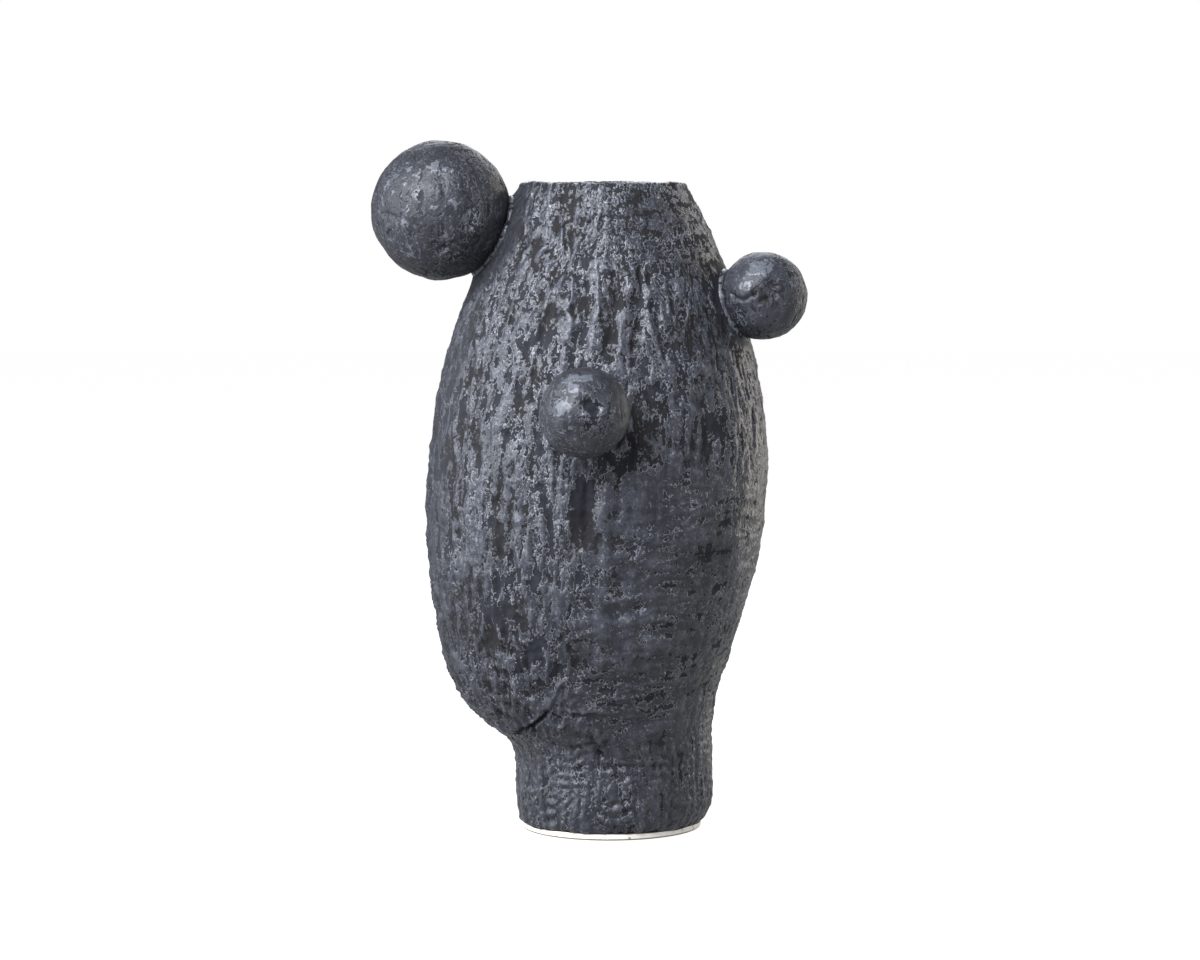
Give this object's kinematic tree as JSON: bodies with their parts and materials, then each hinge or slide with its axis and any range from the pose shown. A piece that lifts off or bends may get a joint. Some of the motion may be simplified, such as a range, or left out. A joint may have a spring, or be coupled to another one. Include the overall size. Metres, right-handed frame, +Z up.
{
  "type": "stoneware pottery vase",
  "caption": "Tall hollow egg-shaped stoneware vase leaning over a round foot, with a flat open mouth and clay balls luted to its shoulder, side and front.",
  "frame": {"origin": "centre of the flat resting face under the foot", "axes": "+Z up towards the mouth, +X to the vase's right (the side of the middle-sized ball), -Y the front (the side of the front ball)"},
  "size_m": [0.2465, 0.2194, 0.3935],
  "materials": {
    "outer_glaze": "satin charcoal glaze, blue-grey over matte brown-black",
    "inner_glaze": "thin satin charcoal glaze",
    "bare_clay": "unglazed fired stoneware, matte"
  },
  "bodies": {
    "root": {"foot_slab": "bare_clay", "foot_wall": "outer_glaze", "seam_coil": "inner_glaze", "underbelly": "outer_glaze", "lower_belly": "outer_glaze", "middle_belly": "outer_glaze", "upper_belly": "outer_glaze", "shoulder": "outer_glaze", "rim_coil": "outer_glaze", "large_ball": "outer_glaze", "large_ball_collar": "outer_glaze", "right_ball": "outer_glaze", "right_ball_collar": "outer_glaze", "front_ball": "outer_glaze", "front_ball_collar": "outer_glaze"}
  },
  "joints": []
}
